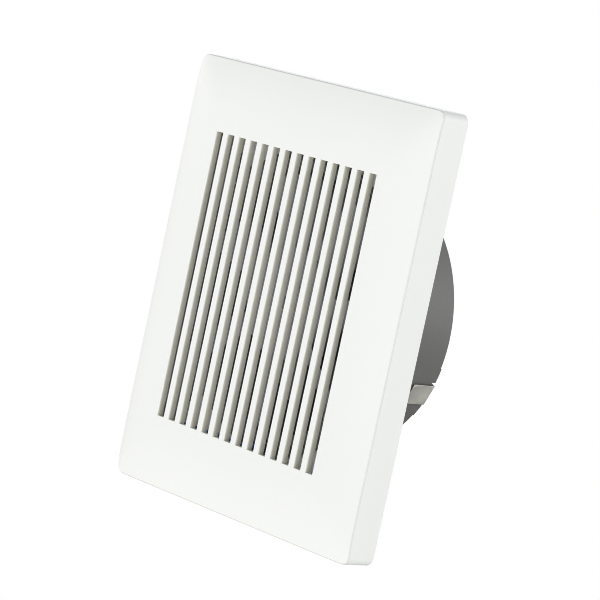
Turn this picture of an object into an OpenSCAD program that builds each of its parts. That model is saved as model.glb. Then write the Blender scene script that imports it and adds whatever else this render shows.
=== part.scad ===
// Through-wall bathroom extractor fan: a slotted front cover on a wall frame, and a round
// casing that is pushed into a 150 mm pipe and held there by three leaf springs.
// The casing holds an axial impeller, its motor and a two-leaf backdraft shutter.
// Millimetres. Origin: duct axis on the wall plane. +Y points into the wall, +Z up.

/* [Front cover] */
// Width of the cover
cover_w = 190; // [190:1:210]
// Height of the cover
cover_h = 232; // [232:1:260]
// Corner radius seen from the front
cover_corner_r = 6; // [4:0.5:10]
// Wall plane to the front edge of the rim
rim_depth = 18.1; // [18:0.1:22]
// Height of the crowned face above the rim's edge
crown = 6; // [4:0.5:8]
// Thickness of the rim
rim_wall = 2.2; // [1.8:0.1:2.6]
// Thickness of the face outside the slots
face_skin = 2.4; // [2:0.1:3]

/* [Grille] */
// Number of slots
slot_count = 14; // [6:1:14]
// Distance between slots
slot_pitch = 9.32; // [8.5:0.01:9.4]
// Width of a slot
slot_w = 5.24; // [4:0.02:6]
// Height of the slots
slot_h = 154.8; // [120:0.1:158]
// Depth of the bars between the slots
bar_depth = 3.8; // [3:0.1:5]

/* [Wall frame] */
// Thickness of the frame's plate
frame_t = 3; // [3:0.1:3.5]
// Wall screw spacing across
wall_screw_dx = 160; // [158:1:162]
// Wall screw spacing up and down
wall_screw_dz = 202; // [198:1:204]
// Radius of a wall screw hole
wall_screw_r = 2.4; // [2:0.1:2.6]

/* [Casing] */
// Outside diameter of the casing
casing_od = 143.4; // [143:0.1:143.6]
// Wall thickness of the casing
casing_wall = 2; // [1.8:0.1:2.2]
// Wall plane to the rear edge of the casing
casing_len = 43.4; // [43:0.2:50]

/* [Leaf springs] */
// Width of a leaf spring
leaf_w = 12; // [10:0.5:13]
// Length of a leaf spring along the casing
leaf_len = 14.2; // [13:0.2:15]
// Rise of a leaf spring from the casing
leaf_rise = 1; // [0.5:0.5:3]
// Angles round the casing at which the leaf springs sit
leaf_angles = [100, -25, -150];

/* [Impeller] */
// Number of blades
blade_count = 7; // [5:1:8]
// Pitch of the blades
blade_pitch = 36; // [30:1:40]
// Gap between the blade tips and the casing
tip_gap = 2.2; // [1.5:0.1:3]

/* [Motor] */
// Outside radius of the motor
motor_r = 28; // [28:0.5:30]
// Length of the stator core
core_len = 9; // [8:0.5:9]
// Gap between rotor and stator
air_gap = 0.3; // [0.25:0.05:0.4]
// Radius of the shaft
shaft_r = 2.5; // [2.4:0.1:2.6]

/* [Shutter] */
// Thickness of a shutter leaf
flap_t = 1.2; // [1:0.1:1.5]
// Radius of the shutter pin
pin_r = 1.5; // [1.4:0.1:1.6]

/* [Hidden] */
$fn = 96;
eps = 0.01;
running = 0.05;

// Front cover
wall_gap = 0.3;
y_edge = -rim_depth;
y_face = -(rim_depth + crown);
crown_flat_w = 130;
crown_flat_h = 160;
peg_x = 84;
peg_z = 70;
peg_r = 3;
peg_boss_r = 4;
peg_tip_y = -1.2;

// Wall frame
frame_side_gap = 0.8;
frame_w = cover_w - 2 * (rim_wall + frame_side_gap);
frame_h = cover_h - 2 * (rim_wall + frame_side_gap);
frame_corner_r = 4;
upstand_t = 1.6;
upstand_y = -9;
socket_r = 5.6;
socket_y = -9;
opening_r = casing_od / 2 + 0.3;
gasket_r0 = 76;
gasket_r1 = 85;
gasket_t = 1.2;

// Casing
casing_r = casing_od / 2;
bore_r = casing_r - casing_wall;
flange_t = 2.5;
flange_r = 80;
flange_y = -frame_t - flange_t;
bead_r = 4;
ear_pcr = 88;
ear_r = 6;
ear_screw_r = 1.4;
hub_r = 31;
hub_y = 10;
hub_t = 2.5;
stay_angles = [30, 150, 270];
stay_t = 2.6;
stay_y1 = 24;
lead_slot_x = 5.4;
lead_slot_w = 8;
rear_chamfer = 0.2;
shoulder_angle = 12.3;
shoulder_y = casing_len + 0.8;
seat_angle = 5.4;
seat_depth = 0.6;
ledge_t = 1.8;
ledge_w = 3;

// Leaf springs
leaf_t = 0.5;
leaf_gap = 0.7;
leaf_tail = 2.6;
leaf_hook = 2.8;
leaf_corner_r = 3.2;
leaf_y = casing_len - seat_depth;

// Motor, from front to back
grommet_t = 1;
motor_y0 = hub_y + hub_t + grommet_t;
shell_depth = 6;
shell_t = 0.9;
core_y0 = motor_y0 + shell_depth;
core_y1 = core_y0 + core_len;
motor_y1 = core_y1 + shell_depth;
bush_r = 5;
boss_r = 6.2;
motor_screw_pcr = 22;
motor_screw_angles = [90, 210, 330];
motor_screw_r = 1.5;
tie_pcr = 25;
tie_angles = [45, 135, 225, 315];
tie_r = 1.3;
stator_bore = 13;
yoke_r = 21.5;
shoe_r = 15;
tooth_w = 8;
coil_r0 = 15.4;
coil_r1 = 19.6;
coil_t = 3.6;
bobbin_t = 0.8;
rotor_r = stator_bore - air_gap;
ring_t = 1.5;
cage_bars = 12;
cage_pcr = 11;
cage_bar_r = 0.9;

// Impeller
fan_y0 = -8;
fan_y1 = 8;
fan_r = bore_r - tip_gap;
fan_hub_r = 30;
fan_hub_wall = 1.6;
fan_boss_r = 6;
fan_boss_y1 = 4;
blade_t = 1.5;
blade_camber_r = 42;
blade_chord = 30;
stud_r = 2;
drive_pin_r = 0.75;
drive_pin_y = 2.6;

// Shutter
shutter_y = casing_len - 3;
flap_r = 68.2;
knuckle_r = 2.8;
pin_bore = pin_r + running;
pin_boss_z = 64;
pin_boss_r = 3;
flap_side_gap = 0.6;
knuckle_len = 11.4;
knuckle_gap = 0.4;
knuckle_pitch = 12;
spring_half = 8;
knuckle_z = [for (i = [3:-1:0]) -spring_half - knuckle_len - i * knuckle_pitch,
             for (i = [0:3]) spring_half + i * knuckle_pitch];
knuckles_end = knuckle_z[7] + knuckle_len + knuckle_gap;

// Terminal bay, in the frame's lower corners
term_x = -44;
term_z = -97;
term_y = -8;
term_pitch = 10;
term_w = 31;
term_d = 16;
term_h = 11;
term_ear = 5;
entry_x = 2;
entry_z = -97;
entry_hole_r = 9;
entry_lip_r = 11;
entry_bore_r = 4.2;
entry_lip_t = 1;
clamp_x = -15;
clamp_w = 7;
clamp_span = 19;
clamp_y = -12;
clamp_t = 2.5;
cap_x = 50;
cap_w = 40;
cap_d = 16;
cap_h = 12;
hood_x0 = -67;
hood_x1 = -21;
hood_z0 = -108.5;
hood_z1 = -85.5;
hood_y = -17;
hood_t = 1.4;
hood_post_x = -70.5;
hood_post_z = -90;
wire_r = 0.9;
lead_y = -11.5;
lead_run_r = casing_r + 1.1;
lead_exit_y = 20;

// Turns a shape drawn along +Z so that it runs along +Y from y0
module along_y(y0) translate([0, y0, 0]) rotate([-90, 0, 0]) children();

// Turns a shape placed on +X round the duct axis
module at_angle(a) rotate([0, -a, 0]) children();

module disc_y(r, y0, y1) along_y(y0) cylinder(r = r, h = y1 - y0);

module ring_y(r0, r1, y0, y1) difference() {
    disc_y(r1, y0, y1);
    disc_y(r0, y0 - 1, y1 + 1);
}

// Box from one corner to the other
module box(a, b) translate(a) cube(b - a);

// Rounded rectangle made of true arcs
module rounded_rect(w, h, r) {
    square([w - 2 * r, h], center = true);
    square([w, h - 2 * r], center = true);
    for (sx = [-1, 1], sz = [-1, 1])
        translate([sx * (w / 2 - r), sz * (h / 2 - r)]) circle(r);
}

module slab(w, h, r, y0, y1) along_y(y0) linear_extrude(y1 - y0) rounded_rect(w, h, r);

// Solid under a face that is flat in the middle and curves back to its two sides.
// top is the height of the flat, inset moves the whole surface inwards.
module crown_section(half, flat_half, inset) {
    run = half - flat_half;
    arc_r = (run * run + crown * crown) / (2 * crown);
    intersection() {
        translate([-half - 1, -1]) square([2 * half + 2, -y_face + 1 - inset]);
        union() {
            translate([-flat_half, -1]) square([2 * flat_half, -y_face + 1 - inset]);
            for (s = [-1, 1])
                translate([s * flat_half, -y_face - arc_r]) circle(arc_r - inset, $fn = 360);
        }
    }
}

module crowned_block(inset) intersection() {
    rotate([180, 0, 0]) linear_extrude(cover_h + 4, center = true)
        crown_section(cover_w / 2, crown_flat_w / 2, inset);
    rotate([0, 90, 0]) rotate([180, 0, 0]) linear_extrude(cover_w + 4, center = true)
        crown_section(cover_h / 2, crown_flat_h / 2, inset);
}

// Screw with a cross recess, its head towards -Y and its shank along +Y from y
module screw(x, y, z, head_r, head_h, shank_r, len) translate([x, y, z]) difference() {
    union() {
        disc_y(head_r, -head_h, 0);
        disc_y(shank_r, -eps, len);
    }
    for (a = [0, 90]) at_angle(a)
        box([-head_r * 0.6, -head_h - 1, -0.35], [head_r * 0.6, -head_h * 0.4, 0.35]);
}

function unit(v) = v / norm(v);

// The list with each inner corner cut off at distance d, so that a wire bends softly
function softened(points, d) = [
    points[0],
    for (i = [1:len(points) - 2]) let (p = points[i])
        for (q = [points[i - 1], points[i + 1]]) p + min(d, norm(q - p) / 2.1) * unit(q - p),
    points[len(points) - 1]
];

// Normals carried along a list of tangents without twisting
function carried(tangents, u, i = 0) = i == len(tangents) ? []
    : let (n = unit(u - (u * tangents[i]) * tangents[i])) concat([n], carried(tangents, n, i + 1));

// Closed round tube swept along a list of points. side is any direction across its start
module swept_tube(points, r, side, sides = 8) {
    n = len(points);
    tangents = [for (i = [0:n - 1])
        let (a = points[max(i - 1, 0)], b = points[i], c = points[min(i + 1, n - 1)])
            unit((b == a ? [0, 0, 0] : unit(b - a)) + (c == b ? [0, 0, 0] : unit(c - b)))];
    normals = carried(tangents, side);
    verts = [for (i = [0:n - 1], k = [0:sides - 1]) let (a = 360 * k / sides)
        points[i] + r * (cos(a) * normals[i] + sin(a) * cross(tangents[i], normals[i]))];
    walls = [for (i = [0:n - 2], k = [0:sides - 1]) let (m = (k + 1) % sides)
        [i * sides + k, (i + 1) * sides + k, (i + 1) * sides + m, i * sides + m]];
    ends = [[for (k = [0:sides - 1]) k], [for (k = [sides - 1:-1:0]) (n - 1) * sides + k]];
    polyhedron(points = verts, faces = concat(walls, ends), convexity = 6);
}

// Insulated wire with softened bends
module wire(points) swept_tube(softened(points, 1.6), wire_r, [1, 1, 1]);

// ---- Cover

module front_cover() color("white") {
    pad_w = (slot_count - 1) * slot_pitch + slot_w + 6;
    difference() {
        union() {
            difference() {
                intersection() {
                    crowned_block(0);
                    slab(cover_w, cover_h, cover_corner_r, y_face - 1, -wall_gap);
                }
                difference() {
                    intersection() {
                        crowned_block(face_skin);
                        slab(cover_w - 2 * rim_wall, cover_h - 2 * rim_wall,
                             cover_corner_r - rim_wall, y_face - 1, 1);
                    }
                    box([-pad_w / 2, y_face, -slot_h / 2 - 3],
                        [pad_w / 2, y_face + bar_depth, slot_h / 2 + 3]);
                }
            }
            for (sx = [-1, 1], sz = [-1, 1]) translate([sx * peg_x, 0, sz * peg_z]) {
                disc_y(peg_boss_r, y_edge - 1.5, socket_y - 0.2);
                disc_y(peg_r, socket_y - 1, peg_tip_y);
            }
        }
        for (i = [0:slot_count - 1])
            translate([(i - (slot_count - 1) / 2) * slot_pitch, 0, 0])
                box([-slot_w / 2, y_face - 1, -slot_h / 2], [slot_w / 2, y_face + bar_depth + 1, slot_h / 2]);
        for (sx = [-1, 1], sz = [-1, 1]) translate([sx * peg_x, 0, sz * peg_z])
            box([-0.4, socket_y + 1, -peg_r - 1], [0.4, 0, peg_r + 1]);
    }
}

// ---- Wall frame and what it carries

module clamp_posts(r, y0, y1) for (s = [-1, 1])
    translate([clamp_x, 0, entry_z + s * clamp_span / 2]) disc_y(r, y0, y1);

module mounting_frame() color("gainsboro") difference() {
    union() {
        slab(frame_w, frame_h, frame_corner_r, -frame_t, 0);
        difference() {
            slab(frame_w, frame_h, frame_corner_r, upstand_y, -frame_t + eps);
            slab(frame_w - 2 * upstand_t, frame_h - 2 * upstand_t, frame_corner_r - upstand_t,
                 upstand_y - 1, 0);
        }
        for (sx = [-1, 1], sz = [-1, 1]) {
            translate([sx * peg_x, 0, sz * peg_z]) disc_y(socket_r, socket_y, -eps);
            translate([sx * wall_screw_dx / 2, 0, sz * wall_screw_dz / 2]) disc_y(5, -5, -eps);
        }
        clamp_posts(3, clamp_y, -eps);
        box([clamp_x - clamp_w / 2, -5, entry_z - 6], [clamp_x + clamp_w / 2, -eps, entry_z + 6]);
        translate([hood_post_x, 0, hood_post_z]) disc_y(3, -10, -eps);
        difference() {
            box([cap_x - cap_w / 2 - 1.7, -9, term_z - cap_d / 2 - 1.7],
                [cap_x + cap_w / 2 + 1.7, -eps, term_z + cap_d / 2 + 1.7]);
            box([cap_x - cap_w / 2 - 0.2, -10, term_z - cap_d / 2 - 0.2],
                [cap_x + cap_w / 2 + 0.2, -frame_t, term_z + cap_d / 2 + 0.2]);
            box([cap_x - cap_w / 2 - 3, -10, term_z - 5], [cap_x - cap_w / 2 + 1, -frame_t, term_z + 5]);
        }
    }
    disc_y(opening_r, -frame_t - 1, 1);
    box([lead_slot_x - lead_slot_w / 2, -frame_t - 1, -gasket_r0 + 0.5],
        [lead_slot_x + lead_slot_w / 2, 1, -70]);
    ring_y(gasket_r0 - 0.2, gasket_r1 + 0.2, -gasket_t, 1);
    for (sx = [-1, 1], sz = [-1, 1]) {
        translate([sx * wall_screw_dx / 2, 0, sz * wall_screw_dz / 2]) disc_y(wall_screw_r, -6, 1);
        translate([sx * peg_x, 0, sz * peg_z]) disc_y(peg_r + running, socket_y - 1, -0.8);
    }
    for (a = [45:90:315]) at_angle(a) translate([ear_pcr, 0, 0])
        disc_y(ear_screw_r + eps, -frame_t - 1, -0.4);
    clamp_posts(1.2 + eps, clamp_y - 1, -3);
    translate([hood_post_x, 0, hood_post_z]) disc_y(1.2 + eps, -11, -3);
    for (s = [-1, 1]) translate([term_x + s * (term_w + term_ear) / 2, 0, term_z])
        disc_y(1.2 + eps, -frame_t - 1, -0.4);
    translate([entry_x, 0, entry_z]) {
        disc_y(entry_hole_r, -frame_t - 1, 1);
        disc_y(entry_lip_r, -entry_lip_t, 1);
    }
}

module wall_gasket() color("dimgray") ring_y(gasket_r0, gasket_r1, -gasket_t, 0);

module cable_grommet() color("#2b2b2b") translate([entry_x, 0, entry_z]) difference() {
    union() {
        disc_y(entry_lip_r - 0.2, -frame_t - 1.2, -frame_t);
        disc_y(entry_hole_r, -frame_t - eps, -entry_lip_t + eps);
        disc_y(entry_lip_r - 0.1, -entry_lip_t, 0);
    }
    disc_y(entry_bore_r, -frame_t - 3, 1);
}

module terminal_block() color("ivory") translate([term_x, 0, term_z]) difference() {
    union() {
        box([-term_w / 2, -frame_t - term_h, -term_d / 2], [term_w / 2, -frame_t, term_d / 2]);
        box([-term_w / 2 - term_ear, -frame_t - 3.5, -5], [term_w / 2 + term_ear, -frame_t, 5]);
    }
    for (i = [-1:1]) translate([i * term_pitch, 0, 0]) {
        box([-2.8, term_y - 2.8, -7], [2.8, term_y + 2.8, 7]);
        disc_y(2.4, -frame_t - term_h - 1, term_y);
        translate([0, term_y, -term_d]) cylinder(r = 1.8, h = 2 * term_d);
    }
    for (s = [-1, 1]) {
        translate([s * (term_w + term_ear) / 2, 0, 0]) disc_y(1.4, -frame_t - 4, 1);
        translate([s * term_pitch / 2, 0, 0])
            box([-0.6, -frame_t - term_h - 1, -term_d], [0.6, -frame_t - term_h + 2.5, term_d]);
    }
}

module terminal_inserts() color("goldenrod") translate([term_x, term_y, term_z])
    for (i = [-1:1]) translate([i * term_pitch, 0, 0]) difference() {
        box([-2.7, -2.7, -6.9], [2.7, 2.7, 6.9]);
        translate([0, 0, -8]) cylinder(r = 1.6, h = 16);
        for (s = [-1, 1]) translate([0, 0, s * 3.6]) disc_y(1.2, -4, 0);
    }

module terminal_screws() color("silver") for (i = [-1:1], s = [-1, 1])
    translate([term_x + i * term_pitch, term_y, term_z + s * 3.6]) difference() {
        disc_y(1.19, -2.6, -0.9);
        box([-1.5, -3, -0.2], [1.5, -2.2, 0.2]);
    }

module terminal_block_screws() color("silver") for (s = [-1, 1])
    screw(term_x + s * (term_w + term_ear) / 2, -frame_t - 3.5, term_z, 2.3, 1.4, 1.2, 5.6);

module terminal_cover() color("ivory") difference() {
    union() {
        box([hood_x0, hood_y, hood_z0], [hood_x1, -frame_t, hood_z1]);
        box([hood_post_x - 3.5, -11.8, hood_post_z - 4], [hood_x0 + 1, -10, hood_post_z + 4]);
    }
    box([hood_x0 + hood_t, hood_y + hood_t, hood_z0 + hood_t], [hood_x1 - hood_t, 0, hood_z1 - hood_t]);
    box([-58, -12.8, hood_z1 - 3], [-30, 0, hood_z1 + 1]);
    box([hood_x1 - 3, -13, entry_z - 6], [hood_x1 + 1, 0, entry_z + 6]);
    translate([hood_post_x, 0, hood_post_z]) disc_y(1.4, -13, -9);
}

module terminal_cover_screw() color("silver")
    screw(hood_post_x, -11.8, hood_post_z, 2.4, 1.4, 1.2, 7);

module cord_clamp() color("ivory") difference() {
    union() {
        box([clamp_x - clamp_w / 2, clamp_y - clamp_t, entry_z - clamp_span / 2 - 3],
            [clamp_x + clamp_w / 2, clamp_y, entry_z + clamp_span / 2 + 3]);
        box([clamp_x - 1, clamp_y - eps, entry_z - 5], [clamp_x + 1, clamp_y + 1, entry_z + 5]);
    }
    for (s = [-1, 1]) translate([clamp_x, 0, entry_z + s * clamp_span / 2])
        disc_y(1.4, clamp_y - clamp_t - 1, 0);
}

module cord_clamp_screws() color("silver") for (s = [-1, 1])
    screw(clamp_x, clamp_y - clamp_t, entry_z + s * clamp_span / 2, 2.4, 1.5, 1.2, 10);

module run_capacitor() color("#33373b") difference() {
    box([cap_x - cap_w / 2, -frame_t - cap_h, term_z - cap_d / 2],
        [cap_x + cap_w / 2, -frame_t, term_z + cap_d / 2]);
    for (z = [term_z - 3, term_z + 3])
        translate([cap_x - cap_w / 2 - 1, -9, z]) rotate([0, 90, 0]) cylinder(r = wire_r + 0.1, h = 3.1);
}

module capacitor_lead() color("#e8e8e4") wire([
    [cap_x - cap_w / 2 + 2, -9, term_z - 3], [20, -9, term_z - 3], [20, lead_y, -84.6], [18, lead_y, -82.6],
    [-32, lead_y, -82.6], [-34, lead_y, -83.4], [-34, term_y, -87.5], [-34, term_y, -92.2]]);

// One lead: out of the motor, along a stay, through the casing wall, then forward to the bay
function lead_start(x) = [[x, lead_exit_y, -motor_r - 0.4], [x, lead_exit_y, -lead_run_r + 1.2],
    [x, lead_exit_y - 1.2, -lead_run_r], [x, lead_y + 1.6, -lead_run_r], [x, lead_y, -lead_run_r - 1.6]];

module motor_leads() {
    color("#2a5fb0") wire(concat(lead_start(3.2), [[3.2, lead_y, -78.0], [2.4, lead_y, -78.7],
        [-53, lead_y, -78.7], [-54, lead_y, -79.7], [-54, term_y, -86.5], [-54, term_y, -92.2]]));
    color("#7a4a2b") wire(concat(lead_start(5.4), [[5.4, lead_y, -80.0], [4.7, lead_y, -80.7],
        [-43, lead_y, -80.7], [-44, lead_y, -81.7], [-44, term_y, -87.0], [-44, term_y, -92.2]]));
    color("#b03028") wire(concat(lead_start(7.6), [[7.6, lead_y, -78.8], [8.4, lead_y, -79.6],
        [24, lead_y, -79.6], [25, lead_y, -80.6], [25, -9, -92], [27, -9, term_z + 3],
        [cap_x - cap_w / 2 + 2, -9, term_z + 3]]));
}

// ---- Casing

module casing_section() {
    polygon([[bore_r, flange_y], [flange_r, flange_y], [flange_r, flange_y + flange_t],
             [casing_r, flange_y + flange_t], [casing_r, shoulder_y - rear_chamfer],
             [casing_r - rear_chamfer, shoulder_y], [bore_r, shoulder_y]]);
    intersection() {
        translate([bore_r + bead_r, flange_y]) circle(bead_r);
        translate([bore_r - 1, flange_y - bead_r - 1]) square([2 * bead_r + 2, bead_r + 1.5]);
    }
    translate([bore_r - ledge_w, shutter_y - flap_t / 2 - ledge_t - 0.1]) square([ledge_w + 1, ledge_t]);
}

// What is cut from the rear edge down to y0, over half an angle to each side of the +X axis
module edge_cut(half_angle, y0) rotate([-90, 0, 0]) rotate([0, 0, -half_angle]) translate([0, 0, y0])
    rotate_extrude(angle = 2 * half_angle, $fn = 180) translate([bore_r - 1, 0])
        square([casing_wall + 2, shoulder_y + 1 - y0]);

module duct_casing() color("#6c6c6a") difference() {
    union() {
        rotate([-90, 0, 0]) rotate_extrude($fn = 180) casing_section();
        for (a = [45:90:315]) at_angle(a) translate([ear_pcr, 0, 0]) {
            disc_y(ear_r, flange_y, -frame_t);
            box([-12, flange_y, -ear_r], [0, -frame_t, ear_r]);
        }
        disc_y(hub_r, hub_y, hub_y + hub_t);
        ring_y(hub_r - 2, hub_r, hub_y, hub_y + 8);
        for (a = stay_angles) at_angle(a)
            box([hub_r - 1.5, hub_y + 0.6, -stay_t / 2], [bore_r + 0.5, stay_y1, stay_t / 2]);
        for (s = [-1, 1]) scale([1, 1, s]) translate([0, shutter_y, pin_boss_z])
            cylinder(r = pin_boss_r, h = bore_r + 0.5 - pin_boss_z);
    }
    disc_y(9, hub_y - 1, hub_y + hub_t + 1);
    for (a = motor_screw_angles) at_angle(a) translate([motor_screw_pcr, 0, 0])
        disc_y(3.5, hub_y - 1, hub_y + hub_t + 1);
    for (a = [45:90:315]) at_angle(a) translate([ear_pcr, 0, 0])
        disc_y(ear_screw_r + 0.2, flange_y - 1, 0);
    translate([0, shutter_y, -bore_r - 0.2]) cylinder(r = pin_r + eps, h = 2 * bore_r + 0.4);
    // Way for the leads: through the wall behind the impeller, then forward through the flange
    box([lead_slot_x - lead_slot_w / 2, lead_exit_y - 2.5, -casing_r - 1],
        [lead_slot_x + lead_slot_w / 2, lead_exit_y + 2.5, -bore_r + 1]);
    box([lead_slot_x - lead_slot_w / 2, flange_y - bead_r - 1, -75.3],
        [lead_slot_x + lead_slot_w / 2, 0, -casing_r + 0.2]);
    // The rear edge is lower between the shoulders that guard each leaf spring, and lowest in its seat
    for (i = [0:2]) {
        here = leaf_angles[i];
        next = i < 2 ? leaf_angles[i + 1] : leaf_angles[0] - 360;
        at_angle((here + next) / 2) edge_cut((here - next) / 2 - shoulder_angle, casing_len);
        at_angle(here) edge_cut(seat_angle, leaf_y);
        at_angle(here) box([bore_r - 1, leaf_y - 1.4, leaf_w / 2 + 0.2],
                           [casing_r + 1, shoulder_y + 1, leaf_w / 2 + 1.1]);
    }
}

module casing_screws() color("silver") for (a = [45:90:315])
    screw(ear_pcr * cos(a), flange_y, ear_pcr * sin(a), 3, 1.8, ear_screw_r, 5);

// ---- Leaf springs: a strip hooked over the casing's rear edge, its free end towards the room

module leaf_spring() color("lightgray") {
    tail_x = casing_r - leaf_hook;
    root = [casing_r + leaf_gap, leaf_y];
    way = [sin(leaf_rise), -cos(leaf_rise)];
    out = leaf_t * [cos(leaf_rise), sin(leaf_rise)];
    tip_y = (root + leaf_len * way).y;
    difference() {
        translate([0, 0, -leaf_w / 2]) linear_extrude(leaf_w) polygon([
            [tail_x, leaf_y - leaf_tail], [tail_x + leaf_t, leaf_y - leaf_tail], [tail_x + leaf_t, leaf_y],
            root, root + leaf_len * way, root + leaf_len * way + out, root + out,
            [root.x + leaf_t * 0.8, leaf_y + leaf_t], [tail_x, leaf_y + leaf_t]]);
        for (s = [-1, 1]) difference() {
            box([casing_r + 1, tip_y - 1, s * leaf_w / 2 - leaf_corner_r],
                [casing_r + 9, tip_y + leaf_corner_r, s * leaf_w / 2 + leaf_corner_r]);
            translate([casing_r, tip_y + leaf_corner_r, s * (leaf_w / 2 - leaf_corner_r)])
                rotate([0, 90, 0]) cylinder(r = leaf_corner_r, h = 10);
            box([casing_r, tip_y - 2, -leaf_w / 2 + leaf_corner_r],
                [casing_r + 10, tip_y + 9, leaf_w / 2 - leaf_corner_r]);
        }
    }
}

module leaf_spring_top() at_angle(leaf_angles[0]) leaf_spring();
module leaf_spring_right() at_angle(leaf_angles[1]) leaf_spring();
module leaf_spring_left() at_angle(leaf_angles[2]) leaf_spring();

// ---- Motor

module motor_front_shell() color("#b9bbb8") difference() {
    union() {
        disc_y(motor_r, motor_y0, core_y0);
        disc_y(boss_r, motor_y0 - 3.2, motor_y0 + eps);
    }
    disc_y(motor_r - shell_t, motor_y0 + shell_t, core_y0 + 1);
    disc_y(bush_r, motor_y0 - 2.6, motor_y0 + 2);
    disc_y(3, motor_y0 - 4, motor_y0);
    for (a = motor_screw_angles) at_angle(a) translate([motor_screw_pcr, 0, 0])
        disc_y(motor_screw_r + eps, motor_y0 - 1, motor_y0 + 2);
    for (a = tie_angles) at_angle(a) translate([tie_pcr, 0, 0])
        disc_y(tie_r + eps, motor_y0 - 1, motor_y0 + 2);
    for (a = [15:30:345]) at_angle(a) box([9.5, motor_y0 - 1, -1], [13.5, motor_y0 + 2, 1]);
}

module motor_rear_shell() color("#b9bbb8") difference() {
    union() {
        disc_y(motor_r, core_y1, motor_y1);
        disc_y(boss_r, motor_y1 - eps, motor_y1 + 1.9);
    }
    disc_y(motor_r - shell_t, core_y1 - 1, motor_y1 - shell_t);
    disc_y(bush_r, motor_y1 - 2, motor_y1 + 1.3);
    for (a = tie_angles) at_angle(a) translate([tie_pcr, 0, 0]) disc_y(tie_r + 0.1, core_y1, motor_y1 + 1);
    for (a = [15:30:345]) at_angle(a) box([9.5, core_y1 + 1, -1], [17, motor_y1 + 1, 1]);
    box([lead_slot_x - lead_slot_w / 2, core_y1 - 1, -motor_r - 1],
        [lead_slot_x + lead_slot_w / 2, core_y1 + 2, -motor_r + 3]);
}

module motor_tie_screws() color("silver") for (a = tie_angles) at_angle(a)
    translate([tie_pcr, 0, 0]) difference() {
        union() {
            disc_y(tie_r, motor_y0 - 0.3, motor_y1 + eps);
            disc_y(2.4, motor_y1, motor_y1 + 1.5);
        }
        for (b = [0, 90]) at_angle(b) box([-1.5, motor_y1 + 0.7, -0.3], [1.5, motor_y1 + 3, 0.3]);
    }

module stator_core() color("#8d9093") difference() {
    union() {
        ring_y(yoke_r, motor_r, core_y0, core_y1);
        for (a = [0:90:270]) at_angle(a) {
            box([shoe_r - 1, core_y0, -tooth_w / 2], [yoke_r + 1, core_y1, tooth_w / 2]);
            intersection() {
                ring_y(stator_bore, shoe_r, core_y0, core_y1);
                box([9.6, core_y0, -9], [shoe_r + 1, core_y1, 9]);
            }
        }
    }
    for (a = tie_angles) at_angle(a) translate([tie_pcr, 0, 0]) disc_y(tie_r + 0.1, core_y0 - 1, core_y1 + 1);
}

// Rectangular loop round a stator tooth, between two radii
module tooth_loop(r0, r1, inner, outer) difference() {
    box([r0, core_y0 - outer, -tooth_w / 2 - outer], [r1, core_y1 + outer, tooth_w / 2 + outer]);
    box([r0 - 1, core_y0 - inner, -tooth_w / 2 - inner], [r1 + 1, core_y1 + inner, tooth_w / 2 + inner]);
}

module coil_bobbins() color("#e9e2cf") for (a = [0:90:270]) at_angle(a) {
    tooth_loop(coil_r0 - 0.3, coil_r1 + 0.3, 0, bobbin_t);
}

module stator_coils() color("#b4622d") for (a = [0:90:270]) at_angle(a)
    tooth_loop(coil_r0, coil_r1, bobbin_t, bobbin_t + coil_t - 0.3);

module front_bearing() color("#a5854c") ring_y(shaft_r + running, bush_r, motor_y0 - 2.6, motor_y0 + 2.9);
module rear_bearing() color("#a5854c") ring_y(shaft_r + running, bush_r, motor_y1 - 4, motor_y1 + 1.3);

module oil_felts() color("#d9d0b8") {
    ring_y(bush_r, 8, motor_y0 + shell_t, motor_y0 + 2.7);
    ring_y(bush_r, 8, motor_y1 - 2.7, motor_y1 - shell_t);
}

module motor_grommets() color("#222222") for (a = motor_screw_angles) at_angle(a)
    translate([motor_screw_pcr, 0, 0]) difference() {
        union() {
            disc_y(5, hub_y - 0.8, hub_y);
            disc_y(3.5, hub_y - eps, hub_y + hub_t + eps);
            disc_y(5, hub_y + hub_t, motor_y0);
        }
        disc_y(motor_screw_r + eps, hub_y - 2, motor_y0 + 1);
    }

module motor_screws() color("silver") for (a = motor_screw_angles)
    screw(motor_screw_pcr * cos(a), hub_y - 0.8, motor_screw_pcr * sin(a), 3.2, 1.8, motor_screw_r, 6);

module motor_shaft() color("lightgray") difference() {
    union() {
        disc_y(shaft_r, fan_y0, motor_y1 + 1);
        disc_y(stud_r, fan_y0 - 7, fan_y0 + eps);
    }
    translate([0, drive_pin_y, -4]) cylinder(r = drive_pin_r + eps, h = 8);
}

module drive_pin() color("silver") translate([0, drive_pin_y, -5.5]) cylinder(r = drive_pin_r, h = 11);

module rotor_core() color("#7f8285") difference() {
    disc_y(rotor_r, core_y0, core_y1);
    disc_y(shaft_r, core_y0 - 1, core_y1 + 1);
    for (i = [0:cage_bars - 1]) at_angle(i * 360 / cage_bars) translate([cage_pcr, 0, 0])
        disc_y(cage_bar_r, core_y0 - 1, core_y1 + 1);
}

module rotor_cage() color("#c9ccce") {
    ring_y(8.5, rotor_r - 0.3, core_y0 - ring_t, core_y0);
    ring_y(8.5, rotor_r - 0.3, core_y1, core_y1 + ring_t);
    for (i = [0:cage_bars - 1]) at_angle(i * 360 / cage_bars) translate([cage_pcr, 0, 0])
        disc_y(cage_bar_r, core_y0 - ring_t / 2, core_y1 + ring_t / 2);
}

module thrust_washers() color("#f2f0e6") {
    ring_y(shaft_r, bush_r, motor_y0 + 3.0, motor_y0 + 3.6);
    ring_y(shaft_r, bush_r, motor_y1 - 4.7, motor_y1 - 4.1);
}

// ---- Impeller

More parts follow.
